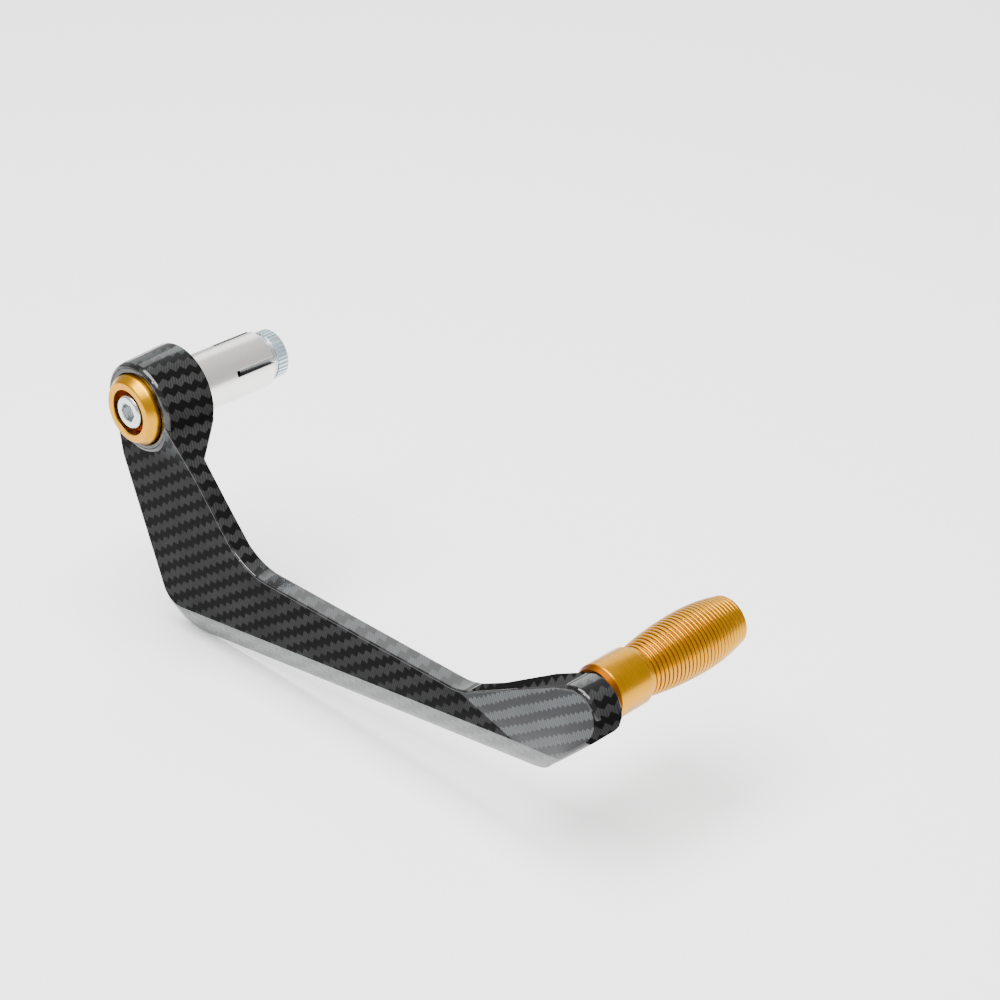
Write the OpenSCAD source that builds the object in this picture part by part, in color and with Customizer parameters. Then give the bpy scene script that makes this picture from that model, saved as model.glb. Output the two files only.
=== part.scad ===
// Brake lever guard for one handlebar end: moulded arm, bar-end fixing and knurled tip
// Frame: the bar axis is Y, +Y goes into the bar, +X runs forward, +Z is up

/* [Show] */
// Which sub-part is drawn

/* [Arm outline] */
// Wall thickness of the moulded shell
wall_t = 2.2; // [1.5:0.1:4]
// Distance of the outer face in front of the boss back
face_depth = 15.2; // [12:0.1:20]
// Distance of the flange rim in front of the boss back
rim_depth = 9.2; // [4:0.1:12]
// Height of the upper edge of the long leg below the bar axis
top_edge_drop = 35.6; // [28:0.1:45]
// Distance of the front edge of the short leg from the bar axis
front_edge_offset = 8.2; // [4:0.1:12]
// Lean of the front edge of the short leg from vertical
front_edge_lean_deg = 41; // [30:0.5:50]
// Radius of the inner bend between the legs
inner_bend_r = 20; // [10:0.5:30]
// Distance in X of the upper end of the rear edge behind the bar axis
rear_top_x = 11.3; // [9:0.1:14]
// Drop of the upper end of the rear edge below the bar axis
rear_top_drop = 7.5; // [4:0.1:12]
// Distance in X of the knee of the rear edge behind the bar axis
rear_knee_x = 9.4; // [6:0.1:12]
// Drop of the knee of the rear edge below the bar axis
rear_knee_drop = 19.5; // [14:0.1:26]
// Lean of the rear edge below its knee from vertical
rear_lean_deg = 21.6; // [15:0.1:30]
// Radius of the outer bend at the foot of the short leg
outer_bend_r = 10; // [6:0.5:14]
// Drop of the lower edge below the bar axis, at the measuring station
lower_edge_drop = 58.4; // [50:0.1:66]
// Distance in X of the measuring station of the lower edge
lower_station_x = 90; // [70:1:110]
// Rise of the lower edge towards the tip
lower_slope_deg = 8.1; // [4:0.1:12]
// Distance in X of the knee of the upper edge
knee_x = 128; // [110:1:140]
// Radius of the upper edge at its knee
knee_r = 18; // [8:0.5:30]
// Radius where the lower edge turns up to the tip
heel_r = 12; // [6:0.5:20]
// Slope of the short edge under the tip
heel_slope_deg = 44; // [35:0.5:55]
// Radius of the rounded end of the arm
pad_r = 8.2; // [7:0.1:10]
// Distance in X of the centre of the rounded end ahead of the tip axis
pad_shift_x = 1.3; // [0:0.1:3]
// Drop of the centre of the rounded end below the tip axis
pad_shift_drop = 1.2; // [0:0.1:3]

/* [Arm relief] */
// Depth of the lower bevel
bevel_depth = 4.8; // [2:0.1:7]
// Height of the lower bevel
bevel_height = 9; // [5:0.1:12]
// Radius of the bevel round the outer bend, at the face
bend_bevel_r = 7; // [5:0.5:9]
// Tilt of the ramp from the face up to the main boss
ramp_tilt_deg = 5; // [2:0.5:8]
// Distance in X of the rear foot of the ramp
ramp_foot_x = 5.7; // [2:0.1:10]
// Drop of the rear foot of the ramp below the bar axis
ramp_foot_drop = 14.6; // [12:0.1:18]
// Length of the ramp down the front edge, from the point nearest the bar axis
ramp_run = 26; // [18:0.5:32]
// Backward tilt of the facet at the tip
facet_tilt_deg = 4; // [1:0.5:8]
// Slope of the facet crease down towards the tip
crease_slope_deg = 16; // [5:0.5:30]
// Radius of the skirt round the main boss at the rim
skirt_r = 23; // [18:0.5:28]
// Radius of the skirt round the tip seat at the rim
seat_skirt_r = 27; // [20:0.5:34]
// Radius of the skirt round the tip seat at its back
seat_back_r = 13; // [10:0.5:18]
// Thickness of the inner ribs
rib_t = 1.6; // [1:0.1:3]
// Reach of the inner ribs from the main boss
rib_reach = 20; // [10:1:30]

/* [Main boss] */
// Radius of the boss at its back
boss_back_r = 14.3; // [13:0.1:16]
// Radius of the boss at its front
boss_front_r = 13.4; // [12:0.1:15]
// Length of the boss
boss_len = 16.2; // [14:0.1:22]
// Edge radius at the front of the boss
boss_edge_r = 1.5; // [0.5:0.1:3]
// Drop of the washer seat below the boss front
seat_depth = 4.4; // [3:0.1:8]
// Clearance round the washer in its seat
washer_gap = 0.35; // [0.2:0.05:0.8]
// Clearance round the bolt in plain holes
bolt_gap = 0.3; // [0.2:0.05:0.8]

/* [Cup washer] */
// Outer radius of the washer
washer_r = 10.4; // [9:0.1:12]
// Outer radius of the flat front of the washer
washer_flat_r = 8.8; // [8:0.1:10]
// Height of the washer
washer_h = 7.8; // [5:0.1:10]
// Height of the conical edge of the washer
washer_cone_h = 2.2; // [0.5:0.1:3]
// Radius of the recess for the bolt head
recess_r = 6.66; // [5.6:0.02:8]
// Thickness of the washer floor
washer_floor_t = 1.8; // [1:0.1:3]

/* [Bar bolt] */
// Thread radius of the bar bolt
bolt_r = 3; // [2.5:0.5:4]
// Head radius of the bar bolt
bolt_head_r = 5; // [4:0.1:6.5]
// Head height of the bar bolt
bolt_head_h = 6; // [4:0.1:8]
// Key size across flats of the bar bolt
bolt_key_af = 5; // [4:1:6]
// Key depth of the bar bolt
bolt_key_depth = 3; // [2:0.1:4]
// Edge chamfer of the bolt head
bolt_head_chamfer = 0.6; // [0.2:0.1:1]
// Length of the bar bolt under its head
bolt_len = 46; // [30:1:60]

/* [Expansion sleeve] */
// Outer radius of the sleeve
sleeve_r = 8.56; // [6:0.02:10]
// Bore radius of the sleeve
sleeve_bore_r = 5.6; // [4:0.1:7]
// Length of the sleeve
sleeve_len = 28; // [20:0.5:40]
// Width of each slot
slot_w = 1.8; // [1:0.1:3]
// Length of each slot
slot_len = 14; // [8:0.5:20]
// Number of slots
slot_n = 4; // [2:1:6]
// Turn of the first slot about the bar axis
slot_turn_deg = 19.4; // [0:0.1:90]
// End chamfer of the sleeve
sleeve_chamfer = 0.5; // [0.2:0.1:1.5]
// Length of the conical seat in the sleeve mouth
cone_seat_len = 12; // [6:0.5:16]
// Radius of the conical seat at the mouth
cone_mouth_r = 6.8; // [6:0.1:8]

/* [Cone nut] */
// Radius of the knurled rim
rim_r = 7.33; // [6:0.02:8.4]
// Width of the knurled rim
rim_w = 4; // [2:0.1:8]
// Gap between the sleeve end and the rim
rim_gap = 2; // [0.5:0.1:5]
// Rim edge chamfer
rim_chamfer = 0.4; // [0.2:0.1:1]
// Number of knurl grooves
knurl_n = 36; // [24:1:60]
// Depth of each knurl groove
knurl_depth = 0.3; // [0.1:0.05:0.6]
// Length of the cone ahead of the sleeve mouth plane
cone_in_len = 11; // [5:0.5:14]
// Gap between the cone and its seat
cone_gap = 0.04; // [0.01:0.01:0.2]
// Mouth radius of the countersink
sink_r = 4; // [3.2:0.1:6]
// Depth of the countersink
sink_depth = 1; // [0.3:0.1:2]
// Clearance round the bolt in the nut
nut_gap = 0.05; // [0.01:0.01:0.2]

/* [Tip] */
// Distance in X of the tip axis from the bar axis
tip_x = 165.6; // [150:0.1:180]
// Drop of the tip axis below the bar axis
tip_drop = 24.1; // [18:0.1:30]
// Distance of the tip seat in front of the boss back
tip_seat_depth = 4.5; // [3:0.1:8]
// Radius of the smooth collar
collar_r = 7.93; // [6:0.01:10]
// Length along the axis of the inner chamfer of the collar
collar_chamfer = 1.8; // [0.5:0.1:3]
// Depth of the inner chamfer of the collar
collar_chamfer_r = 0.9; // [0.3:0.1:2]
// Length of the slope from the collar to the neck
collar_slope_len = 1; // [0.4:0.1:2]
// Length of the tip to the end of its collar
collar_len = 14; // [8:0.1:20]
// Radius of the neck
neck_r = 6.9; // [6:0.1:9]
// Length of the neck
neck_len = 1.4; // [1:0.1:6]
// Length of the ribbed barrel
barrel_len = 35; // [20:0.5:45]
// Radius of the barrel at its start
barrel_start_r = 7; // [6:0.1:9]
// Largest radius of the barrel
barrel_max_r = 8.8; // [7:0.1:11]
// Radius of the barrel at its end
barrel_end_r = 6.9; // [5:0.1:9]
// Distance of the largest radius from the barrel start
barrel_max_at = 20; // [10:0.5:28]
// Number of ribs on the barrel
rib_n = 26; // [12:1:36]
// Depth of the groove between ribs
rib_groove = 0.45; // [0.2:0.05:1]
// Length along the axis of each flank of a rib
rib_flank = 0.27; // [0.15:0.01:0.4]

/* [Tip screw] */
// Thread radius of the tip screw
screw_r = 2.5; // [2:0.5:3]
// Head radius of the tip screw
screw_head_r = 4.25; // [3.5:0.05:5]
// Head height of the tip screw
screw_head_h = 5; // [3:0.1:6]
// Key size across flats of the tip screw
screw_key_af = 4; // [3:1:5]
// Key depth of the tip screw
screw_key_depth = 2.5; // [1.5:0.1:3]
// Depth of the screw head below the tip end
screw_drop = 1.5; // [0.5:0.1:4]
// Clearance round the screw in the tip
screw_gap = 0.25; // [0.1:0.05:0.6]
// Clearance round the screw thread in the arm
screw_thread_gap = 0.03; // [0.01:0.01:0.2]
// Solid left in front of the screw hole
screw_front_t = 3.6; // [2.5:0.1:5]
// Room left past the end of the tip screw
screw_room = 1; // [0.5:0.1:2]

/* [Hidden] */
$fn = 96;
big = 400;
over = 1;
eps = 0.01;
arc_n = 8;
key_sides = 6;
front_dir = [sin(front_edge_lean_deg), -cos(front_edge_lean_deg)];
front_foot = front_edge_offset * [cos(front_edge_lean_deg), sin(front_edge_lean_deg)];
front_run = (front_foot[1] + top_edge_drop) / cos(front_edge_lean_deg);
inner_bend = front_foot + front_run * front_dir;
rear_knee = [-rear_knee_x, -rear_knee_drop];
lower_station = [lower_station_x, -lower_edge_drop];
lower_dir = [cos(lower_slope_deg), sin(lower_slope_deg)];
rear_dir = [sin(rear_lean_deg), -cos(rear_lean_deg)];
outer_bend = rear_knee + rear_dir * cross(lower_station - rear_knee, lower_dir) / cross(rear_dir, lower_dir);
pad_x = tip_x + pad_shift_x;
pad_drop = tip_drop + pad_shift_drop;
pad_c = [pad_x, -pad_drop];
ramp_foot = [ramp_foot_x, -ramp_foot_drop];
ramp_end = front_foot + ramp_run * front_dir;
ramp_deg = atan2(ramp_foot[1] - ramp_end[1], ramp_end[0] - ramp_foot[0]);
bevel_ratio = bevel_height / bevel_depth;
bend_a = rear_knee + bend_bevel_r * [-rear_dir[1], rear_dir[0]];
bend_b = lower_station + (bend_bevel_r + bevel_height) * [-lower_dir[1], lower_dir[0]];
bend_c = bend_a + rear_dir * cross(bend_b - bend_a, lower_dir) / cross(rear_dir, lower_dir);
heel_dir = [cos(heel_slope_deg), sin(heel_slope_deg)];
heel_foot = pad_c + pad_r * [heel_dir[1], -heel_dir[0]];
heel = heel_foot + heel_dir * cross(lower_station - heel_foot, lower_dir) / cross(heel_dir, lower_dir);
knee = [knee_x, -top_edge_drop];
riser_len = norm(pad_c - knee);
riser_deg = atan2(pad_c[1] - knee[1], pad_c[0] - knee[0]) + asin(pad_r / riser_len);
riser_end = pad_c + pad_r * [-sin(riser_deg), cos(riser_deg)];
seat_y = -boss_len + seat_depth;
washer_front_y = seat_y - washer_h;
head_seat_y = seat_y - washer_floor_t;
cone_taper = (cone_mouth_r - sleeve_bore_r) / cone_seat_len;
rim_y = sleeve_len + rim_gap;
nut_end_y = rim_y + rim_w;
tip_y = -tip_seat_depth;
barrel_y = tip_y + collar_len + neck_len;
tip_end_y = barrel_y + barrel_len;
screw_seat_y = tip_end_y - screw_drop - screw_head_h;
screw_hole_y = -face_depth + screw_front_t;
screw_tip_y = screw_hole_y + screw_room;
rib_pitch = barrel_len / rib_n;

function unit(v) = v / norm(v);
// Points of the arc that rounds the corner b between a and c
function rounded(a, b, c, r) =
    let (u = unit(a - b), v = unit(c - b))
    let (half = acos(u * v) / 2, t = r / tan(half))
    let (m = b + unit(u + v) * r / sin(half), p = b + u * t, q = b + v * t)
    let (p_deg = atan2(p[1] - m[1], p[0] - m[0]), q_deg = atan2(q[1] - m[1], q[0] - m[0]))
    let (sweep = (q_deg - p_deg + 540) % 360 - 180)
    [for (i = [0:arc_n]) m + r * [cos(p_deg + sweep * i / arc_n), sin(p_deg + sweep * i / arc_n)]];
function arc(m, r, a0, a1) =
    [for (i = [0:arc_n]) m + r * [cos(a0 + (a1 - a0) * i / arc_n), sin(a0 + (a1 - a0) * i / arc_n)]];
// The outline moved inwards by d, corner by corner
function inward(p, d) =
    [for (i = [0:len(p) - 1])
        let (a = p[(i + len(p) - 1) % len(p)], b = p[i], c = p[(i + 1) % len(p)])
        let (u = unit(b - a), v = unit(c - b))
        b + d * [-u[1] - v[1], u[0] + v[0]] / (1 + u * v)];

rear_top = [-rear_top_x, -rear_top_drop];
outline = concat(
    [rear_top, rear_knee],
    rounded(rear_knee, outer_bend, heel, outer_bend_r),
    rounded(outer_bend, heel, heel_foot, heel_r),
    arc(pad_c, pad_r, heel_slope_deg - 90, riser_deg + 90),
    rounded(riser_end, knee, inner_bend, knee_r),
    rounded(knee, inner_bend, front_foot, inner_bend_r),
    [front_foot]);

// Turns a drawing in X and Z into a plate between two distances along the bar axis
module plate(y0, y1) {
    translate([0, y1, 0])
        rotate([90, 0, 0])
            linear_extrude(y1 - y0)
                children();
}

// Turns a round body about the bar axis at a place in X and Z
module turned(x = 0, z = 0) {
    translate([x, 0, z])
        rotate([-90, 0, 0])
            children();
}

// Everything outside the lower bevel, moved inwards by d
module below_bevel(d) {
    translate([lower_station_x, -face_depth + bevel_depth, -lower_edge_drop])
        rotate([0, -lower_slope_deg, 0])
            rotate([atan2(bevel_depth, bevel_height), 0, 0])
                translate([-big / 2, -big + d, -big / 2])
                    cube([big, big, big]);
}

// Everything outside the bevel round the outer bend, moved inwards by d
module round_bevel(d) {
    lost_r = d * sqrt(1 + bevel_ratio * bevel_ratio);
    front_r = bend_bevel_r - lost_r;
    down = [lower_dir[1], -lower_dir[0]];
    rear = [rear_dir[1], -rear_dir[0]];
    difference() {
        plate(-face_depth - over, over)
            polygon([bend_c, bend_c + big * rear, bend_c + big * (rear + down), bend_c + big * down]);
        turned(bend_c[0], bend_c[1])
            translate([0, 0, -face_depth - over])
                cylinder(
                    h = face_depth + 2 * over,
                    r1 = max(eps, front_r - over * bevel_ratio),
                    r2 = front_r + (face_depth + over) * bevel_ratio);
    }
}

// Ramp from the face up to the front of the main boss
module boss_ramp() {
    intersection() {
        plate(-boss_len, -face_depth + wall_t / 2)
            polygon([[0, 0], ramp_foot, ramp_end, front_foot]);
        translate([ramp_foot[0], -face_depth, ramp_foot[1]])
            rotate([0, ramp_deg, 0])
                rotate([ramp_tilt_deg, 0, 0])
                    translate([-big / 2, 0, -big / 2])
                        cube([big, big, big]);
    }
}

// Everything in front of the tilted facet, moved inwards by d
module before_facet(d) {
    translate([knee_x, -face_depth, -top_edge_drop])
        rotate([0, crease_slope_deg, 0])
            rotate([-facet_tilt_deg, 0, 0])
                translate([-big / 2, -big + d, 0])
                    cube([big, big, big]);
}

// The volume that the arm may fill behind its face
module back_limit() {
    plate(-face_depth, -rim_depth)
        square(big, center = true);
    turned()
        translate([0, 0, -rim_depth - eps])
            cylinder(h = rim_depth + eps, r1 = skirt_r, r2 = boss_back_r);
    turned(tip_x, -tip_drop)
        translate([0, 0, -rim_depth - eps])
            cylinder(h = rim_depth - tip_seat_depth + eps, r1 = seat_skirt_r, r2 = seat_back_r);
}

module shell_solid() {
    difference() {
        intersection() {
            plate(-face_depth, 0)
                polygon(outline);
            back_limit();
        }
        below_bevel(0);
        round_bevel(0);
        before_facet(0);
    }
}

module shell_hollow() {
    difference() {
        plate(-face_depth + wall_t, eps)
            polygon(inward(outline, wall_t));
        below_bevel(wall_t);
        round_bevel(wall_t);
        before_facet(wall_t);
        turned()
            translate([0, 0, -boss_len])
                cylinder(h = boss_len + over, r = boss_back_r);
        turned(pad_x, -pad_drop)
            translate([0, 0, -face_depth])
                cylinder(h = face_depth, r = pad_r);
        inner_ribs();
    }
}

// Thin ribs that fall away from the two bosses
module inner_ribs() {
    for (turn = [rear_lean_deg, front_edge_lean_deg])
        rotate([0, -turn, 0])
            translate([-rib_t / 2, 0, -boss_back_r - rib_reach])
                rib_blade(rib_reach + over);
    translate([pad_x, 0, -pad_drop])
        rotate([0, -riser_deg, 0])
            translate([-pad_r - rib_reach, 0, 0])
                rotate([0, 90, 0])
                    translate([-rib_t / 2, 0, 0])
                        rib_blade(rib_reach + over);
}

module rib_blade(reach) {
    rotate([90, 0, 90])
        linear_extrude(rib_t)
            polygon([
                [-face_depth, 0], [-rim_depth - wall_t, 0],
                [-tip_seat_depth, reach], [-face_depth, reach]]);
}

module arm() {
    color([0.12, 0.12, 0.13])
        difference() {
            union() {
                difference() {
                    shell_solid();
                    shell_hollow();
                }
                boss_body();
                boss_ramp();
            }
            turned()
                translate([0, 0, -boss_len - over])
                    cylinder(h = seat_depth + over, r = washer_r + washer_gap);
            turned()
                translate([0, 0, -boss_len])
                    cylinder(h = boss_len + over, r = bolt_r + bolt_gap);
            turned(tip_x, -tip_drop)
                translate([0, 0, screw_hole_y])
                    cylinder(h = face_depth, r = screw_r + screw_thread_gap);
        }
}

module boss_body() {
    edge_r = boss_front_r - boss_edge_r;
    rotate([-90, 0, 0])
        rotate_extrude()
            polygon(concat(
                [[0, 0], [0, -boss_len]],
                [for (i = [0:arc_n]) [
                    edge_r + boss_edge_r * sin(90 * i / arc_n),
                    -boss_len + boss_edge_r * (1 - cos(90 * i / arc_n))]],
                [[boss_back_r, 0]]));
}

module cup_washer() {
    color([0.85, 0.6, 0.2])
        turned()
            difference() {
                union() {
                    translate([0, 0, washer_front_y + washer_cone_h])
                        cylinder(h = washer_h - washer_cone_h, r = washer_r);
                    translate([0, 0, washer_front_y])
                        cylinder(h = washer_cone_h, r1 = washer_flat_r, r2 = washer_r);
                }
                translate([0, 0, washer_front_y - over])
                    cylinder(h = washer_h - washer_floor_t + over, r = recess_r);
                translate([0, 0, washer_front_y])
                    cylinder(h = washer_h + over, r = bolt_r + bolt_gap);
            }
}

// A socket head screw whose head stands below the plane z = 0
module socket_screw(r, length, head_r, head_h, chamfer, key_af, key_depth) {
    difference() {
        union() {
            cylinder(h = length, r = r);
            translate([0, 0, -head_h + chamfer])
                cylinder(h = head_h - chamfer, r = head_r);
            translate([0, 0, -head_h])
                cylinder(h = chamfer, r1 = head_r - chamfer, r2 = head_r);
        }
        translate([0, 0, -head_h - over])
            cylinder(h = key_depth + over, r = key_af / sqrt(3), $fn = key_sides);
    }
}

module bar_bolt() {
    color([0.7, 0.71, 0.72])
        turned()
            translate([0, 0, head_seat_y])
                socket_screw(
                    bolt_r, bolt_len, bolt_head_r, bolt_head_h,
                    bolt_head_chamfer, bolt_key_af, bolt_key_depth);
}

module sleeve() {
    color([0.85, 0.86, 0.87])
        turned()
            difference() {
                union() {
                    cylinder(h = sleeve_len - sleeve_chamfer, r = sleeve_r);
                    translate([0, 0, sleeve_len - sleeve_chamfer])
                        cylinder(h = sleeve_chamfer, r1 = sleeve_r, r2 = sleeve_r - sleeve_chamfer);
                }
                translate([0, 0, -over])
                    cylinder(h = sleeve_len, r = sleeve_bore_r);
                translate([0, 0, sleeve_len - cone_seat_len])
                    cylinder(h = cone_seat_len + eps, r1 = sleeve_bore_r, r2 = cone_mouth_r);
                for (i = [0:slot_n - 1])
                    rotate([0, 0, -slot_turn_deg - i * 360 / slot_n])
                        translate([0, -slot_w / 2, sleeve_len - slot_len])
                            cube([sleeve_r + over, slot_w, slot_len + over]);
            }
}

module cone_nut() {
    mouth_r = cone_mouth_r - cone_gap;
    color([0.62, 0.68, 0.74])
        turned()
            difference() {
                union() {
                    translate([0, 0, sleeve_len - cone_in_len])
                        cylinder(
                            h = cone_in_len + rim_gap + eps,
                            r1 = mouth_r - cone_in_len * cone_taper,
                            r2 = mouth_r + rim_gap * cone_taper);
                    translate([0, 0, rim_y])
                        cylinder(h = rim_w - rim_chamfer, r = rim_r);
                    translate([0, 0, nut_end_y - rim_chamfer])
                        cylinder(h = rim_chamfer, r1 = rim_r, r2 = rim_r - rim_chamfer);
                }
                translate([0, 0, sleeve_len - cone_in_len - over])
                    cylinder(h = big, r = bolt_r + nut_gap);
                translate([0, 0, nut_end_y - sink_depth])
                    cylinder(h = sink_depth + eps, r1 = bolt_r + nut_gap, r2 = sink_r);
                for (i = [0:knurl_n - 1])
                    rotate([0, 0, i * 360 / knurl_n])
                        translate([rim_r, 0, rim_y - eps])
                            rotate([0, 0, 45])
                                translate([-knurl_depth / sqrt(2), -knurl_depth / sqrt(2), 0])
                                    cube([knurl_depth * sqrt(2), knurl_depth * sqrt(2), rim_w + over]);
            }
}

// Radius of the barrel at a distance from its start
function barrel_r(s) =
    let (rise = barrel_max_r - barrel_start_r, fall = barrel_max_r - barrel_end_r)
    let (before = 1 - s / barrel_max_at, after = (s - barrel_max_at) / (barrel_len - barrel_max_at))
    barrel_max_r - (s < barrel_max_at ? rise * pow(before, 2) : fall * pow(after, 2));

module tip() {
    neck_y = barrel_y - neck_len;
    ribs = [for (i = [0:rib_n - 1])
        let (s = i * rib_pitch, y = barrel_y + s)
        each [
            [barrel_r(s) - rib_groove, y],
            [barrel_r(s + rib_flank), y + rib_flank],
            [barrel_r(s + rib_pitch - rib_flank), y + rib_pitch - rib_flank]]];
    color([0.83, 0.6, 0.22])
        turned(tip_x, -tip_drop)
            difference() {
                rotate_extrude()
                    polygon(concat(
                        [[0, tip_y], [collar_r - collar_chamfer_r, tip_y]],
                        [[collar_r, tip_y + collar_chamfer], [collar_r, neck_y - collar_slope_len]],
                        [[neck_r, neck_y], [neck_r, barrel_y - eps]],
                        ribs,
                        [[barrel_end_r - rib_groove, tip_end_y], [0, tip_end_y]]));
                translate([0, 0, tip_y - over])
                    cylinder(h = tip_end_y - tip_y + 2 * over, r = screw_r + screw_gap);
                translate([0, 0, screw_seat_y])
                    cylinder(h = screw_head_h + screw_drop + over, r = screw_head_r + screw_gap);
            }
}

module tip_screw() {
    color([0.7, 0.71, 0.72])
        translate([tip_x, 0, -tip_drop])
            rotate([90, 0, 0])
                translate([0, 0, -screw_seat_y])
                    socket_screw(
                        screw_r, screw_seat_y - screw_tip_y, screw_head_r, screw_head_h,
                        bolt_head_chamfer, screw_key_af, screw_key_depth);
}

arm();
cup_washer();
bar_bolt();
sleeve();
cone_nut();
tip();
tip_screw();
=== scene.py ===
# %% [markdown]
# # A brake lever guard
# The guard is one moulded arm with metal fittings at both ends.
# The solids come from the CAD model, which loads here as a fixed frame.
# This lesson dresses them: rounded edges, turned ribs and real finishes.

# %% Load the frame
import math

import bmesh
import bpy
from mathutils import Matrix, Vector
from mathutils.bvhtree import BVHTree


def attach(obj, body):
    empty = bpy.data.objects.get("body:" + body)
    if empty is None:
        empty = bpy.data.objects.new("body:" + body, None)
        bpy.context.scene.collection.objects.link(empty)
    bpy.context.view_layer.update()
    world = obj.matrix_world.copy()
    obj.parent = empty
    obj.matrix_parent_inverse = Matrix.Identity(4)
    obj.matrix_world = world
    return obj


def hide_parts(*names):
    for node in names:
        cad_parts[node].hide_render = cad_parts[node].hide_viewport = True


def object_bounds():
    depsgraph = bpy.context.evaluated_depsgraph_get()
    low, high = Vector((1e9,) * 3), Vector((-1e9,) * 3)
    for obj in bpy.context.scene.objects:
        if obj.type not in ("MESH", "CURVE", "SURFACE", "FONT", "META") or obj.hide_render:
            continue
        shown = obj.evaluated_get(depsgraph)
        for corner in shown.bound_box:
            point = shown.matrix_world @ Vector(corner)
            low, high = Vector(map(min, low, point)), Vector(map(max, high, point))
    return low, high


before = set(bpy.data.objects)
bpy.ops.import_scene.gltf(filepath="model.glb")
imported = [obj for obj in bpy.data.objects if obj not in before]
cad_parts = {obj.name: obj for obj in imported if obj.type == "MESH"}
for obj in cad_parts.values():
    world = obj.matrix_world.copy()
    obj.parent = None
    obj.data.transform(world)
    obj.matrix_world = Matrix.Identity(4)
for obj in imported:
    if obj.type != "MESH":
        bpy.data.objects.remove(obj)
cad_low, cad_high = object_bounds()
MM = 0.001
print("CAD box in mm:", [round(v / MM, 1) for v in (*cad_low, *cad_high)])

# %% [markdown]
# ## Colours and nodes
# Colours are picked as sRGB hex values, as on a screen, but shaders work in linear light.
# One function turns the first into the second, and one adds a node with its settings and links.
# A third starts a material and scales its coordinates, so that every pattern size is in millimetres.

# %% Colour and node helpers
MATH = "ShaderNodeMath"
VECTOR = "ShaderNodeVectorMath"
NOISE = "ShaderNodeTexNoise"


def linear(code):
    """A hex colour as linear red, green, blue and alpha."""
    parts = [int(code[i:i + 2], 16) / 255 for i in (1, 3, 5)]
    light = [c / 12.92 if c <= 0.04045 else ((c + 0.055) / 1.055) ** 2.4 for c in parts]
    return (*light, 1.0)


def add(tree, kind, inputs=None, out=0, **settings):
    """Adds a node and returns one of its outputs; an input is a constant, or a socket to link from."""
    made = tree.nodes.new(kind)
    for name, value in settings.items():
        setattr(made, name, value)
    for name, value in (inputs or {}).items():
        if isinstance(value, bpy.types.NodeSocket):
            tree.links.new(value, made.inputs[name])
        else:
            made.inputs[name].default_value = value
    return made.outputs[out] if len(made.outputs) else made


def start_material(name, **constants):
    """A material whose shader has these constants, with its object coordinates in millimetres."""
    material = bpy.data.materials.new(name)
    material.use_nodes = True
    tree = material.node_tree
    shader = tree.nodes["Principled BSDF"]
    for socket, value in constants.items():
        shader.inputs[socket.replace("_", " ")].default_value = value
    metres = add(tree, "ShaderNodeTexCoord", out="Object")
    place = add(tree, VECTOR, {0: metres, "Scale": 1 / MM}, operation="SCALE")
    return material, tree, shader, place


print("helpers ready; a grey of #808080 is", round(linear("#808080")[0], 3), "in linear light")

# %% [markdown]
# ## Pattern of the printed twill
# The arm is moulded nylon with a printed twill weave under a clear coat.
# The print is flat, so it belongs in the base colour, and the coat shines; some paler inks in the base colour
# below paint in sheen and reflections too.
# The bands are 4.65 mm apart, and teeth make their edges zigzag.
# Fine hatch lines in the pale bands stand for the drawn fibres, a little coarser than real so that they show.
# A slow cloud makes the bands fade in and out, as the uneven print does.
# All three come from sums of the coordinates, so the print runs on round each edge.

# %% Shade of the twill print
BAND, TOOTH, SMALL_TOOTH, HATCH = 4.65, 3.4, 1.9, 0.85
ACROSS_BANDS = (-0.545, 0.157, 0.839)
ALONG_BANDS = (0.839, 1.0, 0.545)
ACROSS_HATCH = (0.93, 0.9, 0.37)


def twill_shade(tree, place, tooth):
    """How pale the ink is at each place, from 0 in a dark band to about 1 in a pale one."""
    wander = add(tree, NOISE, {"Vector": place, "Scale": 0.22, "Detail": 1.0})
    level = add(tree, VECTOR, {0: place, 1: ACROSS_BANDS}, out="Value", operation="DOT_PRODUCT")
    across = add(tree, MATH, {0: wander, 1: 0.9, 2: level}, operation="MULTIPLY_ADD")
    along = add(tree, VECTOR, {0: place, 1: ALONG_BANDS}, out="Value", operation="DOT_PRODUCT")
    zigzag = add(tree, MATH, {0: along, 1: tooth / 2}, operation="PINGPONG")
    edge = add(tree, MATH, {0: zigzag, 1: 0.75, 2: across}, operation="MULTIPLY_ADD")
    turns = add(tree, MATH, {0: edge, 1: BAND}, operation="DIVIDE")
    wave = add(tree, MATH, {0: turns, 1: 0.5}, operation="PINGPONG")
    band = add(tree, "ShaderNodeMapRange", {"Value": wave, "From Min": 0.225, "From Max": 0.275},
               interpolation_type="SMOOTHSTEP")
    slant = add(tree, VECTOR, {0: place, 1: ACROSS_HATCH}, out="Value", operation="DOT_PRODUCT")
    phase = add(tree, MATH, {0: slant, 1: math.tau / HATCH}, operation="MULTIPLY")
    fibre = add(tree, MATH, {0: phase}, operation="SINE")
    lines = add(tree, MATH, {0: fibre, 1: 0.26, 2: 0.74}, operation="MULTIPLY_ADD")
    drawn = add(tree, MATH, {0: band, 1: lines}, operation="MULTIPLY")
    cloud = add(tree, NOISE, {"Vector": place, "Scale": 0.07, "Detail": 2.0})
    depth = add(tree, MATH, {0: cloud, 1: 1.3, 2: 0.35}, operation="MULTIPLY_ADD")
    return add(tree, MATH, {0: drawn, 1: depth}, operation="MULTIPLY")


print("a band every", BAND, "mm, a tooth every", TOOTH, "mm and a hatch line every", HATCH, "mm")
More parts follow.
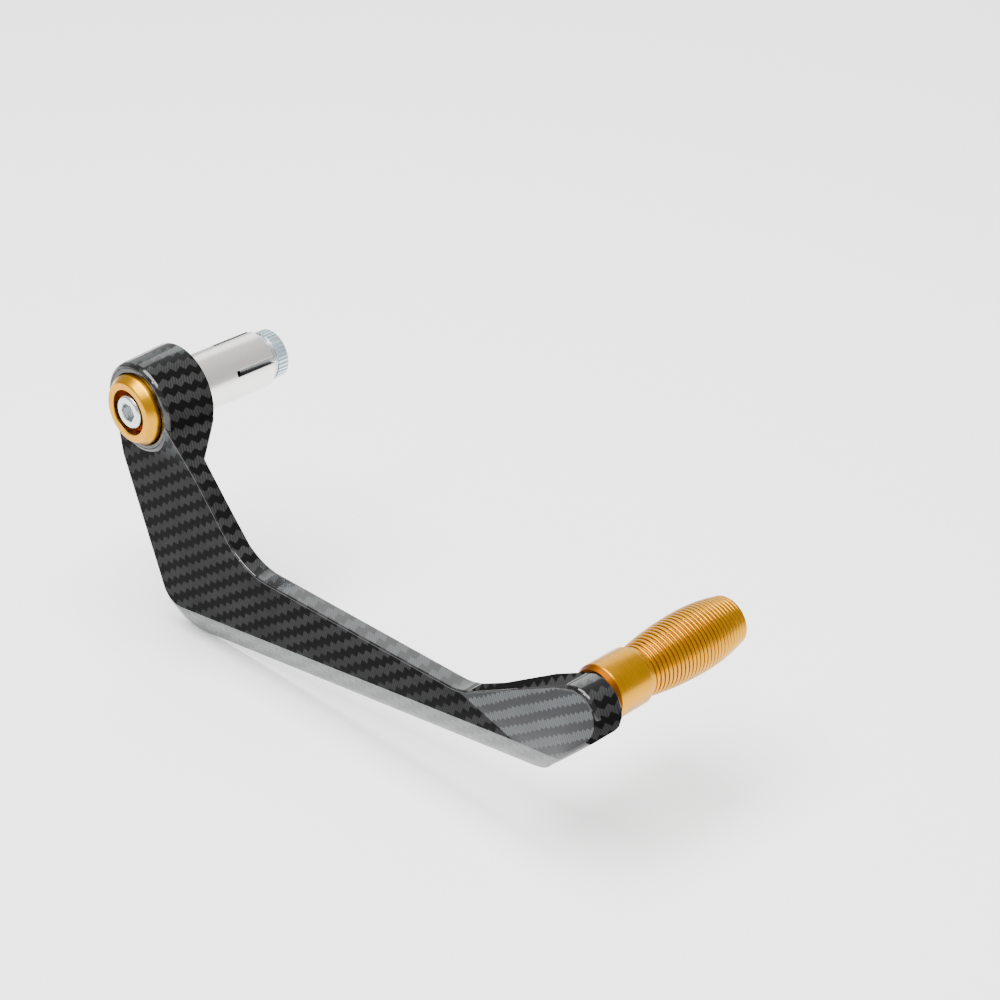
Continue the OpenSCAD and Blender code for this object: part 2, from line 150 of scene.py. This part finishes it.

# %% [markdown]
# ## The print under its coat
# The shade chooses between a dark and a pale ink.
# Each side of the arm has its own pair of inks and its own coat, since each mirrors another part of the studio;
# the paler pairs are painted reflections.
# A print can also fade little by little to a paler pair, a painted sheen or reflection, where the arm looks up
# or stands forward.
# A slow swell in the coat bends the reflections a little, as on a hand-sprayed lacquer.

# %% Twill print on moulded nylon
def twill_print(name, dark, pale, coat_ior, coat_roughness, fade=None, tooth=TOOTH):
    """The print under a clear coat; fade is a painted sheen or reflection: how it turns paler, over which
    range, and to which inks.
    """
    material, tree, shader, place = start_material(
        name,
        Roughness=0.5,
        Specular_IOR_Level=0.0,
        Coat_Weight=1.0,
        Coat_Roughness=coat_roughness,
        Coat_IOR=coat_ior,
    )
    shade = twill_shade(tree, place, tooth)
    colour = add(tree, "ShaderNodeMix", {0: shade, 6: linear(dark), 7: linear(pale)},
                 out=2, data_type="RGBA")
    # The fade paints a sheen or reflection into the base colour, as a paler pair of inks.
    if fade:
        way, start, full, paler_dark, paler_pale = fade
        faint = add(tree, "ShaderNodeMix", {0: shade, 6: linear(paler_dark), 7: linear(paler_pale)},
                    out=2, data_type="RGBA")
        if way == "looks up":
            source, part = add(tree, "ShaderNodeNewGeometry", out="Normal"), "Z"
        else:
            source, part = place, "Y"
        reading = add(tree, "ShaderNodeSeparateXYZ", {0: source}, out=part)
        share = add(tree, "ShaderNodeMapRange", {"Value": reading, "From Min": start, "From Max": full},
                    interpolation_type="SMOOTHSTEP")
        colour = add(tree, "ShaderNodeMix", {0: share, 6: colour, 7: faint}, out=2, data_type="RGBA")
    tree.links.new(colour, shader.inputs["Base Color"])
    swell = add(tree, NOISE, {"Vector": place, "Scale": 0.12, "Detail": 2.0})
    bump = add(tree, "ShaderNodeBump", {"Strength": 0.25, "Distance": 0.4 * MM, "Height": swell})
    tree.links.new(bump, shader.inputs["Coat Normal"])
    return material


# The lacquer gives the eye thin bright lines along the ridges, on black; the pale sheen on top is painted, as
# paler inks where the arm looks up.
twill = twill_print("clear_lacquered_twill_print_with_painted_top_sheen", "#030303", "#262627", 1.5, 0.08,
                    fade=("looks up", 0.93, 0.998, "#0c0e0e", "#313536"))
# Along the bevel underneath, pale inks paint in one broad pale band of reflection, with the print faint in it.
bevel_twill = twill_print("lacquered_twill_print_with_painted_bevel_reflection", "#454848", "#595d5d", 1.5, 0.14)
# A thinner coat keeps the flat face black, so its bands stay clear to the eye; towards the boss the ramp fades
# to paler inks, a painted grey reflection.
dull_twill = twill_print("thinly_coated_twill_print_with_painted_ramp_highlight", "#030303", "#2a2a2b", 1.08, 0.06,
                         fade=("stands forward", -15.3, -16.3, "#2e3132", "#55595a"))
# With no coat the print on the forward and rear sides gives the eye black and charcoal, without a streak.
matt_twill = twill_print("uncoated_twill_print_on_nylon", "#101010", "#2e2e2e", 1.0, 0.3)
# On the slanted facet the paler inks are a painted reflection, which gives the eye a washed-out blue grey; the
# print there has small teeth.
pale_twill = twill_print("twill_print_with_painted_facet_reflection", "#232526", "#4c5051", 1.22, 0.1,
                        tooth=SMALL_TOOTH)
prints = (twill, bevel_twill, dull_twill, matt_twill, pale_twill)
print("twill prints made:", [m.name for m in prints])

# %% [markdown]
# ## Bare nylon inside
# The inner side was never printed or coated, so it shows the plain black nylon.
# A moulded surface has a faint grain of about half a millimetre, made with a bump.

# %% Bare moulded nylon
def bare_nylon():
    # The grain gives the eye a dull black with a soft sheen, unlike the glossy outer side.
    material, tree, shader, place = start_material("bare_moulded_black_nylon", Roughness=0.4)
    grain = add(tree, NOISE, {"Vector": place, "Scale": 2.0, "Detail": 3.0})
    bump = add(tree, "ShaderNodeBump", {"Strength": 0.12, "Distance": 0.1 * MM, "Height": grain})
    tree.links.new(bump, shader.inputs["Normal"])
    tone = add(tree, NOISE, {"Vector": place, "Scale": 0.08, "Detail": 2.0})
    colour = add(tree, "ShaderNodeMix", {0: tone, 6: linear("#0e0e0f"), 7: linear("#1a1a1b")},
                 out=2, data_type="RGBA")
    tree.links.new(colour, shader.inputs["Base Color"])
    return material


nylon = bare_nylon()
print("made", nylon.name)

# %% [markdown]
# ## Turned and anodised aluminium
# The gold parts were turned on a lathe, which leaves rings about 0.2 mm apart.
# Anodising dyes the skin but keeps the metal's shine, so the dye is the metal's own colour.
# A turned surface has its marks round its axis, so the pattern follows Y and the radius.
# The plated and polished parts use the same function with other colours.

# %% Metal finishes
def turned_metal(name, dark, pale, axis, roughness, marks):
    """A turned metal whose rings run round an axis along Y through a point in millimetres."""
    material, tree, shader, place = start_material(name, Metallic=1.0, Roughness=roughness)
    flat = add(tree, VECTOR, {0: place, 1: axis}, operation="SUBTRACT")
    radial = add(tree, VECTOR, {0: flat, 1: (1, 0, 1)}, operation="MULTIPLY")
    radius = add(tree, VECTOR, {0: radial}, out="Value", operation="LENGTH")
    run = add(tree, "ShaderNodeSeparateXYZ", {0: flat}, out="Y")
    ring = add(tree, MATH, {0: radius, 1: run}, operation="ADD")
    rings = add(tree, NOISE, {"W": ring, "Scale": 5.0, "Detail": 2.0}, noise_dimensions="1D")
    bump = add(tree, "ShaderNodeBump", {"Strength": marks, "Distance": 0.05 * MM, "Height": rings})
    tree.links.new(bump, shader.inputs["Normal"])
    cloud = add(tree, NOISE, {"Vector": place, "Scale": 0.35, "Detail": 2.0})
    both = add(tree, MATH, {0: rings, 1: cloud}, operation="ADD")
    tone = add(tree, MATH, {0: both, 1: 0.5}, operation="MULTIPLY")
    colour = add(tree, "ShaderNodeMix", {0: tone, 6: linear(dark), 7: linear(pale)}, out=2, data_type="RGBA")
    tree.links.new(colour, shader.inputs["Base Color"])
    rough = add(tree, MATH, {0: rings, 1: 0.12, 2: roughness - 0.06}, operation="MULTIPLY_ADD")
    tree.links.new(rough, shader.inputs["Roughness"])
    return material


BAR_AXIS, TIP_AXIS = (0, 0, 0), (165.6, 0, -24.1)
# Gold anodising gives the eye deep orange in the shade and warm yellow in the light.
gold_washer = turned_metal("gold_anodised_turned_washer", "#b87600", "#d09a00", BAR_AXIS, 0.3, 0.3)
gold_tip = turned_metal("gold_anodised_turned_tip", "#b87600", "#d09a00", TIP_AXIS, 0.28, 0.25)
# The chamfer next to the arm is rougher, and its darker brown is a painted shade and reflection of the black
# arm, which gives the eye a brown ring beside the gold.
gold_chamfer_with_painted_shade = turned_metal("gold_anodised_chamfer_with_painted_shade", "#5a2c00", "#7c4400", TIP_AXIS, 0.5, 0.5)
# Polished aluminium gives the eye a bright and nearly white mirror with soft streaks.
polished = turned_metal("polished_turned_aluminium", "#e2dfdc", "#f6f3f0", BAR_AXIS, 0.24, 0.15)
# Sawn aluminium is rough, and the dark grey in the slots and bore is a painted shade, which gives the eye dark
# slots.
slot_shade_aluminium = turned_metal("aluminium_with_painted_shade_in_slots", "#3c3c3d", "#58585a", BAR_AXIS, 0.55, 0.4)
# Zinc plating gives the eye a plain silver, and the blue chromate on the nut adds a cold tint.
zinc = turned_metal("bright_zinc_plated_steel", "#b9bcbe", "#d9dbdc", BAR_AXIS, 0.26, 0.1)
blue_zinc = turned_metal("blue_white_zinc_plated_steel", "#a6bcc6", "#cfdfe6", BAR_AXIS, 0.3, 0.15)
metals = (gold_washer, gold_tip, gold_chamfer_with_painted_shade, polished, slot_shade_aluminium, zinc, blue_zinc)
print("metals made:", [m.name for m in metals])

# %% [markdown]
# ## Rounded edges on the exact solids
# Every real edge is a little round, and that thin round is what catches the light.
# A CAD node's mesh is loose triangles and may not change, so each piece works on a copy.
# The copy is merged, its flat faces are joined, and a Bevel modifier rounds its edges.
# Weighted normals then keep the flat faces flat, so only the rounds bend the light.

# %% Tools for rounded edges
EDGE_ANGLE, SMOOTH_ANGLE, FLAT_ANGLE = 28, 32, 0.4
MOST_ROOM, ROOM_SHARE = 10.0, 0.45


def settle(piece):
    """Turns a piece with modifiers into a plain mesh."""
    graph = bpy.context.evaluated_depsgraph_get()
    mesh = bpy.data.meshes.new_from_object(piece.evaluated_get(graph))
    piece.modifiers.clear()
    piece.data = mesh


def mark_smooth(mesh, angle):
    mesh.shade_smooth()
    mesh.set_sharp_from_angle(angle=math.radians(angle))


def room(edge, vert, sharp):
    """How wide a round may be at one end of an edge before it meets the next corner, in millimetres."""
    along = (edge.other_vert(vert).co - vert.co).normalized()
    lengths = [MOST_ROOM]
    for other in vert.link_edges:
        way = other.other_vert(vert).co - vert.co
        goes_on = other in sharp and along.dot(way.normalized()) < -0.85
        if other is not edge and not goes_on:
            lengths.append(ROOM_SHARE * way.length / MM)
    return min(lengths)


print("edges of more than", EDGE_ANGLE, "degrees will be rounded")

# %% [markdown]
# ## A copy of a node, with its rounds
# Each edge gets as wide a round as it has room for, so no round runs into the next one.
# The bevel's own clamp is off, because it would make every round as small as the tightest one.

# %% Copy a node and round its edges
def merged_copy(node, name):
    """A copy of a CAD node's mesh under edit, with its triangles joined into flat faces."""
    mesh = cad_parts[node].data.copy()
    mesh.name = name
    stored = mesh.attributes.get("custom_normal")
    if stored:
        mesh.attributes.remove(stored)
    work = bmesh.new()
    work.from_mesh(mesh)
    bmesh.ops.remove_doubles(work, verts=work.verts, dist=0.001 * MM)
    bmesh.ops.dissolve_limit(work, angle_limit=math.radians(FLAT_ANGLE), verts=work.verts, edges=work.edges)
    return mesh, work


def rounded_copy(node, name, material, width, width_of=None):
    """A copy of a node with rounded edges; width_of can give an edge its own width in millimetres."""
    mesh, work = merged_copy(node, name)
    least = math.radians(EDGE_ANGLE)
    weight = work.edges.layers.float.new("bevel_weight_edge")
    sharp = {e for e in work.edges if len(e.link_faces) == 2 and e.calc_face_angle(0) > least}
    widths = {}
    for edge in sharp:
        wanted = width_of(edge) if width_of else width
        widths[edge] = min(wanted, *(room(edge, vert, sharp) for vert in edge.verts))
    widest = max(widths.values())
    for edge in sharp:
        edge[weight] = widths[edge] / widest
    work.to_mesh(mesh)
    work.free()
    mesh.materials.clear()
    mesh.materials.append(material)
    piece = bpy.data.objects.new(name, mesh)
    bpy.context.scene.collection.objects.link(piece)
    bevel = piece.modifiers.new("edges", "BEVEL")
    bevel.width = widest * MM
    bevel.segments = 3
    bevel.limit_method = "WEIGHT"
    bevel.miter_outer = "MITER_ARC"
    bevel.use_clamp_overlap = False
    settle(piece)
    mark_smooth(piece.data, SMOOTH_ANGLE)
    normals = piece.modifiers.new("normals", "WEIGHTED_NORMAL")
    normals.keep_sharp = True
    settle(piece)
    return piece


def put_on(piece, slot, *nodes):
    """The piece stands for CAD nodes and rides on the one body."""
    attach(piece, "root")
    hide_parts(*nodes)
    triangles = sum(len(p.vertices) - 2 for p in piece.data.polygons)
    print(piece.name, triangles, "triangles")


print("nodes to dress:", sorted(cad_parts))

# %% [markdown]
# ## The arm
# The arm is one injection moulding, with soft ridges where its faces meet.
# The ridges at its tip end are the softest, so they get the largest round.
# The broad bevel underneath and the round of the boss are in the solid itself, so they stay as they are.

# %% Round the arm
PLAIN_ROUND, SOFT_ROUND, NO_ROUND = 0.5, 1.3, 0.0
PAD_X, PAD_Y, BOTTOM_Z = 157, -11.5, -56
BOSS_RIM_Y, BOSS_RIM_LOW, BOSS_RIM_HIGH = -13, 11.5, 13.7


def arm_round(edge):
    """The width in millimetres of the round on one edge of the arm."""
    middle = (edge.verts[0].co + edge.verts[1].co) / (2 * MM)
    if middle.x > PAD_X and middle.y < PAD_Y:
        return SOFT_ROUND
    underside = any(face.normal.z < -0.45 for face in edge.link_faces) or middle.z < BOTTOM_Z
    from_bar = math.hypot(middle.x, middle.z)
    boss_rim = middle.y < BOSS_RIM_Y and BOSS_RIM_LOW < from_bar < BOSS_RIM_HIGH
    return NO_ROUND if underside or boss_rim else PLAIN_ROUND


arm = rounded_copy("arm", "arm_shell", twill, PLAIN_ROUND, arm_round)
put_on(arm, "moulded_nylon", "arm")

# %% [markdown]
# ## Print outside, bare plastic inside
# The print covers only the outer side.
# A face is an inner one if it looks into the bar side, or if a ray from it soon meets the arm again.
# The large flat face takes the thin coat, and the forward and rear sides take none.
# The slanted facet at the tip takes paler inks that paint in its reflection, and the bevel underneath has its
# own pale inks of painted reflection.
# The rounds beside the facet are dark like the sides, which draws one dark line round it.

# %% Choose a finish for each face
GLOSSY, BARE, FLAT, FACET, SIDE, UNDER = range(6)
RAY_LIFT, RAY_REACH = 0.05 * MM, 60 * MM
SKIN_Y, BOSS_FACE_Y, BEVEL_TOP_Z = -14.5, -15.8, -30
FACET_START_X, CORNER_X, FACET_END_X = 100, 160, 171


def finish_of(face, tree):
    """The place in the arm's list of materials for one face; lengths are in millimetres."""
    n = face.normal
    x, y, z = face.center / MM
    hit = tree.ray_cast(face.center + n * RAY_LIFT, n, RAY_REACH)[0]
    if n.y > 0.6 or (hit is not None and y > SKIN_Y):
        return BARE
    if n.y < -0.9999:
        return GLOSSY if y < BOSS_FACE_Y else FLAT
    # The facet takes the paler inks of a painted reflection.
    if n.y < -0.99:
        return FACET if x > FACET_START_X else FLAT
    # Faces looking down at the pad's corner take the bevel's pale inks, a painted reflection.
    if n.z < -0.6 and x > CORNER_X:
        return UNDER
    beside_facet = x > FACET_END_X and n.x > 0.2 and n.z < 0.3
    upright = abs(n.y) < 0.25 and (n.x > 0.45 or n.x < -0.42)
    if beside_facet or upright:
        return SIDE
    # The bevel underneath takes the pale inks of a painted reflection.
    return UNDER if n.z < -0.3 and z < BEVEL_TOP_Z else GLOSSY


for material in (nylon, dull_twill, pale_twill, matt_twill, bevel_twill):
    arm.data.materials.append(material)
arm_tree = BVHTree.FromObject(arm, bpy.context.evaluated_depsgraph_get())
for face in arm.data.polygons:
    face.material_index = finish_of(face, arm_tree)
for place, material in enumerate(arm.data.materials):
    print(sum(face.material_index == place for face in arm.data.polygons), "faces of", material.name)

# %% [markdown]
# ## Bar-end fixing
# The washer, bolt, sleeve and cone nut are turned parts, so their exact solids only need soft edges.
# The sleeve's slots and bore were cut with a saw and bored, not polished, so they get a rough finish, darkened
# with painted shade.
# The nut's plain taper is bright, and only its knurled rim shows the blue tint.

# %% Washer, bolt, sleeve and nut
KNURL_START, SLEEVE_SKIN_R = 29.9, 8.3
washer = rounded_copy("cup_washer", "cup_washer_turned", gold_washer, 0.35)
put_on(washer, "gold_anodised", "cup_washer")
bolt = rounded_copy("bar_bolt", "bar_bolt_plated", zinc, 0.2)
put_on(bolt, "zinc_plated_steel", "bar_bolt")
nut = rounded_copy("cone_nut", "cone_nut_knurled", blue_zinc, 0.06)
nut.data.materials.append(zinc)
for face in nut.data.polygons:
    if face.center.y < KNURL_START * MM:
        face.material_index = 1
put_on(nut, "zinc_plated_nut", "cone_nut")
screw = rounded_copy("tip_screw", "tip_screw_plated", zinc, 0.12)
put_on(screw, "zinc_plated_steel", "tip_screw")
sleeve = rounded_copy("sleeve", "sleeve_polished", polished, 0.12)
sleeve.data.materials.append(slot_shade_aluminium)
# Faces inside the sleeve's skin take the rough finish with painted shade.
for face in sleeve.data.polygons:
    if math.hypot(face.center.x, face.center.z) < SLEEVE_SKIN_R * MM:
        face.material_index = 1
put_on(sleeve, "polished_aluminium", "sleeve")

# %% [markdown]
# ## The tip's barrel
# The tip is a barrel with fine ribs, a smooth collar and a chamfered inner end.
# It is turned on a lathe, and so is this mesh: a profile goes round an axis.
# Short arcs at the profile's corners stand for the edges a lathe hand breaks with a file.

# %% Turn the tip's barrel
TIP_START, COLLAR_END, RIBS_START, TIP_END = -4.5, 8.5, 10.9, 45.9
NECK_R, COLLAR_R, CHAMFER_LONG, CHAMFER_DEEP = 6.9, 7.93, 1.8, 0.9
START_R, MAX_R, END_R, MAX_AT = 7.0, 8.8, 6.9, 20.0
SCREW_R, HEAD_R, HEAD_DEEP = 2.75, 4.5, 6.5
RIB_COUNT, GROOVE, AROUND, BARREL_STEPS = 26, 0.45, 96, 24
LENGTH = TIP_END - RIBS_START


def barrel_radius(run):
    """Radius of the barrel at a distance from its start, in millimetres."""
    if run < MAX_AT:
        return MAX_R - (MAX_R - START_R) * (1 - run / MAX_AT) ** 2
    return MAX_R - (MAX_R - END_R) * ((run - MAX_AT) / (LENGTH - MAX_AT)) ** 2


def lathe(name, profile, material, axis):
    """Turns a closed profile of (radius, y) points in millimetres round an axis along Y."""
    work = bmesh.new()
    loops = []
    for k in range(AROUND):
        turn = math.tau * k / AROUND
        loops.append([
            work.verts.new(Vector((axis[0] + r * math.cos(turn), y, axis[2] + r * math.sin(turn))) * MM)
            for r, y in profile
        ])
    for k in range(AROUND):
        a, b = loops[k], loops[(k + 1) % AROUND]
        for i in range(len(profile)):
            j = (i + 1) % len(profile)
            work.faces.new((a[i], a[j], b[j], b[i]))
    bmesh.ops.recalc_face_normals(work, faces=work.faces)
    mesh = bpy.data.meshes.new(name)
    work.to_mesh(mesh)
    work.free()
    mesh.materials.append(material)
    mark_smooth(mesh, angle=30)
    piece = bpy.data.objects.new(name, mesh)
    bpy.context.scene.collection.objects.link(piece)
    return piece


def softened(points, radius):
    """A profile with each corner replaced by a short arc."""
    result = []
    for i, point in enumerate(points):
        here = Vector(point)
        back = Vector(points[i - 1]) - here
        ahead = Vector(points[(i + 1) % len(points)]) - here
        reach = min(radius, back.length * ROOM_SHARE, ahead.length * ROOM_SHARE)
        a, b = here + back.normalized() * reach, here + ahead.normalized() * reach
        for t in (0, 0.25, 0.5, 0.75, 1):
            result.append(tuple(a * (1 - t) ** 2 + here * 2 * t * (1 - t) + b * t * t))
    return result


steps = [LENGTH * i / BARREL_STEPS for i in range(BARREL_STEPS + 1)]
barrel_line = [(barrel_radius(run) - GROOVE, RIBS_START + run) for run in steps]
outside = [
    (COLLAR_R - CHAMFER_DEEP, TIP_START),
    (COLLAR_R, TIP_START + CHAMFER_LONG),
    (COLLAR_R, COLLAR_END),
    (NECK_R, COLLAR_END + 1),
    (NECK_R, RIBS_START),
]
head_seat = TIP_END - HEAD_DEEP
inside = [(HEAD_R, TIP_END), (HEAD_R, head_seat), (SCREW_R, head_seat), (SCREW_R, TIP_START)]
profile = softened(outside, 0.35) + barrel_line + softened(inside, 0.2)
barrel = lathe("tip_barrel", profile, gold_tip, TIP_AXIS)
# The chamfer's faces take the darker gold of painted shade.
barrel.data.materials.append(gold_chamfer_with_painted_shade)
for face in barrel.data.polygons:
    if face.center.y < (TIP_START + CHAMFER_LONG - 0.1) * MM:
        face.material_index = 1
put_on(barrel, "gold_anodised", "tip")

# %% [markdown]
# ## Ribs by Geometry Nodes
# A line of points runs along the barrel, one for each rib.
# Each point gets a thin ring, turned upright and scaled to the barrel's radius there.
# A small square with rounded corners swept round the ring makes a flat-topped rib.
# The radius follows the same two curves as the barrel, written as nodes.

# %% Build the rib tree
RIB_SHARE, RIB_CORNER = 0.74, 0.22


def rib_tree():
    """A tree that puts ribs round a barrel; every size that it needs is a named input."""
    tree = bpy.data.node_groups.new("ribs_along_barrel", "GeometryNodeTree")
    face = tree.interface
    face.new_socket("Geometry", in_out="OUTPUT", socket_type="NodeSocketGeometry")
    for name in ("Start", "Pitch", "Start Radius", "Max Radius", "End Radius", "Max At", "Length",
                 "Rib Width", "Rib Height", "Axis X", "Axis Z"):
        face.new_socket(name, in_out="INPUT", socket_type="NodeSocketFloat")
    face.new_socket("Count", in_out="INPUT", socket_type="NodeSocketInt")
    face.new_socket("Material", in_out="INPUT", socket_type="NodeSocketMaterial")
    given = tree.nodes.new("NodeGroupInput").outputs
    index = add(tree, "GeometryNodeInputIndex")
    centre = add(tree, MATH, {0: index, 1: 0.5}, operation="ADD")
    run = add(tree, MATH, {0: centre, 1: given["Pitch"]}, operation="MULTIPLY")
    # The first curve falls from the widest place back to the start
    share = add(tree, MATH, {0: run, 1: given["Max At"]}, operation="DIVIDE")
    before = add(tree, MATH, {0: 1.0, 1: share}, operation="SUBTRACT")
    before_2 = add(tree, MATH, {0: before, 1: before}, operation="MULTIPLY")
    rise = add(tree, MATH, {0: given["Max Radius"], 1: given["Start Radius"]}, operation="SUBTRACT")
    drop_a = add(tree, MATH, {0: rise, 1: before_2}, operation="MULTIPLY")
    # The second curve falls from the widest place to the end
    past = add(tree, MATH, {0: run, 1: given["Max At"]}, operation="SUBTRACT")
    left = add(tree, MATH, {0: given["Length"], 1: given["Max At"]}, operation="SUBTRACT")
    after = add(tree, MATH, {0: past, 1: left}, operation="DIVIDE")
    after_2 = add(tree, MATH, {0: after, 1: after}, operation="MULTIPLY")
    fall = add(tree, MATH, {0: given["Max Radius"], 1: given["End Radius"]}, operation="SUBTRACT")
    drop_b = add(tree, MATH, {0: fall, 1: after_2}, operation="MULTIPLY")
    early = add(tree, MATH, {0: run, 1: given["Max At"]}, operation="LESS_THAN")
    drop = add(tree, "ShaderNodeMix", {0: early, 2: drop_b, 3: drop_a}, data_type="FLOAT")
    radius = add(tree, MATH, {0: given["Max Radius"], 1: drop}, operation="SUBTRACT")
    half = add(tree, MATH, {0: given["Rib Height"], 1: 0.5}, operation="MULTIPLY")
    middle = add(tree, MATH, {0: radius, 1: half}, operation="SUBTRACT")
    depth = add(tree, MATH, {0: run, 1: given["Start"]}, operation="ADD")
    spot = add(tree, "ShaderNodeCombineXYZ", {"X": given["Axis X"], "Y": depth, "Z": given["Axis Z"]})
    points = add(tree, "GeometryNodePoints", {"Count": given["Count"], "Position": spot})
    circle = add(tree, "GeometryNodeCurvePrimitiveCircle", {"Resolution": AROUND, "Radius": 1.0},
                 mode="RADIUS")
    size = add(tree, "ShaderNodeCombineXYZ", {"X": middle, "Y": middle, "Z": 1.0})
    rings = add(tree, "GeometryNodeInstanceOnPoints", {
        "Points": points, "Instance": circle, "Rotation": (math.radians(90), 0, 0), "Scale": size})
    real = add(tree, "GeometryNodeRealizeInstances", {"Geometry": rings})
    block = add(tree, "GeometryNodeCurvePrimitiveQuadrilateral", {
        "Width": given["Rib Height"], "Height": given["Rib Width"]}, mode="RECTANGLE")
    rounding = add(tree, MATH, {0: given["Rib Width"], 1: RIB_CORNER}, operation="MULTIPLY")
    profile = add(tree, "GeometryNodeFilletCurve", {
        "Curve": block, "Count": 3, "Radius": rounding}, mode="POLY")
    tube = add(tree, "GeometryNodeCurveToMesh", {"Curve": real, "Profile Curve": profile})
    solid = add(tree, "GeometryNodeRealizeInstances", {"Geometry": tube})
    finish = add(tree, "GeometryNodeSetMaterial", {"Geometry": solid, "Material": given["Material"]})
    out = tree.nodes.new("NodeGroupOutput")
    tree.links.new(finish, out.inputs["Geometry"])
    return tree


ribs_group = rib_tree()
print("rib tree has", len(ribs_group.nodes), "nodes")

# %% [markdown]
# ## One run of the rib tree
# The same tree could make ribs for any barrel, because each size is a named input.
# It runs once here, and its result is kept as a plain mesh.

# %% Run the rib tree and keep its mesh
def from_tree(name, tree, values):
    """Runs a tree on an empty mesh with values for its named inputs, and keeps the plain mesh."""
    piece = bpy.data.objects.new(name, bpy.data.meshes.new(name + "_seed"))
    bpy.context.scene.collection.objects.link(piece)
    modifier = piece.modifiers.new("tree", "NODES")
    modifier.node_group = tree
    for item in tree.interface.items_tree:
        if item.in_out == "INPUT":
            modifier[item.identifier] = values[item.name]
    settle(piece)
    return piece


ribs = from_tree("tip_ribs", ribs_group, {
    "Start": RIBS_START * MM,
    "Pitch": LENGTH / RIB_COUNT * MM,
    "Start Radius": START_R * MM,
    "Max Radius": MAX_R * MM,
    "End Radius": END_R * MM,
    "Max At": MAX_AT * MM,
    "Length": LENGTH * MM,
    "Rib Width": LENGTH / RIB_COUNT * RIB_SHARE * MM,
    "Rib Height": GROOVE * 2 * MM,
    "Axis X": TIP_AXIS[0] * MM,
    "Axis Z": TIP_AXIS[2] * MM,
    "Count": RIB_COUNT,
    "Material": gold_tip,
})
mark_smooth(ribs.data, angle=50)
put_on(ribs, "gold_anodised", "tip")

# %% [markdown]
# ## Floor
# A pale sheet of paper under the part, as in a small photo studio.
# It is larger than the picture, so no edge of it shows.

# %% Floor
# Matte paper gives the eye a plain white ground with one soft shadow.
paper, _, _, _ = start_material("matte_white_paper", Base_Color=linear("#fafafa"), Roughness=0.9)
floor_mesh = bpy.data.meshes.new("floor")
half, floor_z = 3.0, cad_low.z - 0.5 * MM
corners = [(-half, -half, floor_z), (half, -half, floor_z), (half, half, floor_z), (-half, half, floor_z)]
floor_mesh.from_pydata(corners, [], [(0, 1, 2, 3)])
floor_mesh.materials.append(paper)
floor = bpy.data.objects.new("floor", floor_mesh)
bpy.context.scene.collection.objects.link(floor)
print("floor at", round(floor_z / MM, 1), "mm")

# %% [markdown]
# ## Lights
# Large soft lamps make the broad pale reflections of a studio picture.
# The largest hangs above the part, and one behind it brightens what looks up and back.
# A small one in front draws a thin bright line where a round ridge turns towards it.
# The world adds an even white, so no side is black.

# %% Lights
world = bpy.data.worlds.new("studio")
bpy.context.scene.world = world
world.use_nodes = True
world.node_tree.nodes["Background"].inputs["Color"].default_value = (1, 1, 1, 1)
world.node_tree.nodes["Background"].inputs["Strength"].default_value = 0.8
centre = (cad_low + cad_high) / 2


def softbox(name, place, size, power):
    """A square lamp that looks at the middle of the object; place is in metres from there."""
    lamp = bpy.data.lights.new(name, "AREA")
    lamp.size = size
    lamp.energy = power
    holder = bpy.data.objects.new(name, lamp)
    holder.location = centre + Vector(place)
    holder.rotation_euler = (-Vector(place)).to_track_quat("-Z", "Y").to_euler()
    bpy.context.scene.collection.objects.link(holder)
    print(name, round(power / (math.pi * size * size), 1), "W per square metre and steradian")


softbox("top_light", (0.0, -0.2, 1.2), 1.1, 55)
softbox("back_light", (-0.7, 0.95, 0.6), 0.9, 5)
softbox("key_light", (0.0, -0.85, 0.83), 0.06, 1.8)

# %% [markdown]
# ## Camera
# The camera stands where the photograph was taken from: 45 degrees round and 30 degrees up.
# Its long lens keeps the perspective weak.

# %% Camera
SENSOR, LENS_PER_SENSOR = 36, 2.671
eye = Vector((0.5414, -0.4150, 0.3468))
forward = Vector((-0.6145, 0.6163, -0.4926)).normalized()
right = Vector((0.708, 0.706, 0.0)).normalized()
up = right.cross(forward).normalized()
camera_data = bpy.data.cameras.new("camera")
camera_data.sensor_width = SENSOR
camera_data.lens = SENSOR * LENS_PER_SENSOR
camera_data.clip_start = 0.01
camera = bpy.data.objects.new("camera", camera_data)
camera.matrix_world = Matrix((
    (right.x, up.x, -forward.x, eye.x),
    (right.y, up.y, -forward.y, eye.y),
    (right.z, up.z, -forward.z, eye.z),
    (0, 0, 0, 1),
))
bpy.context.scene.collection.objects.link(camera)
bpy.context.scene.camera = camera
print("camera lens", round(camera_data.lens, 1), "mm")
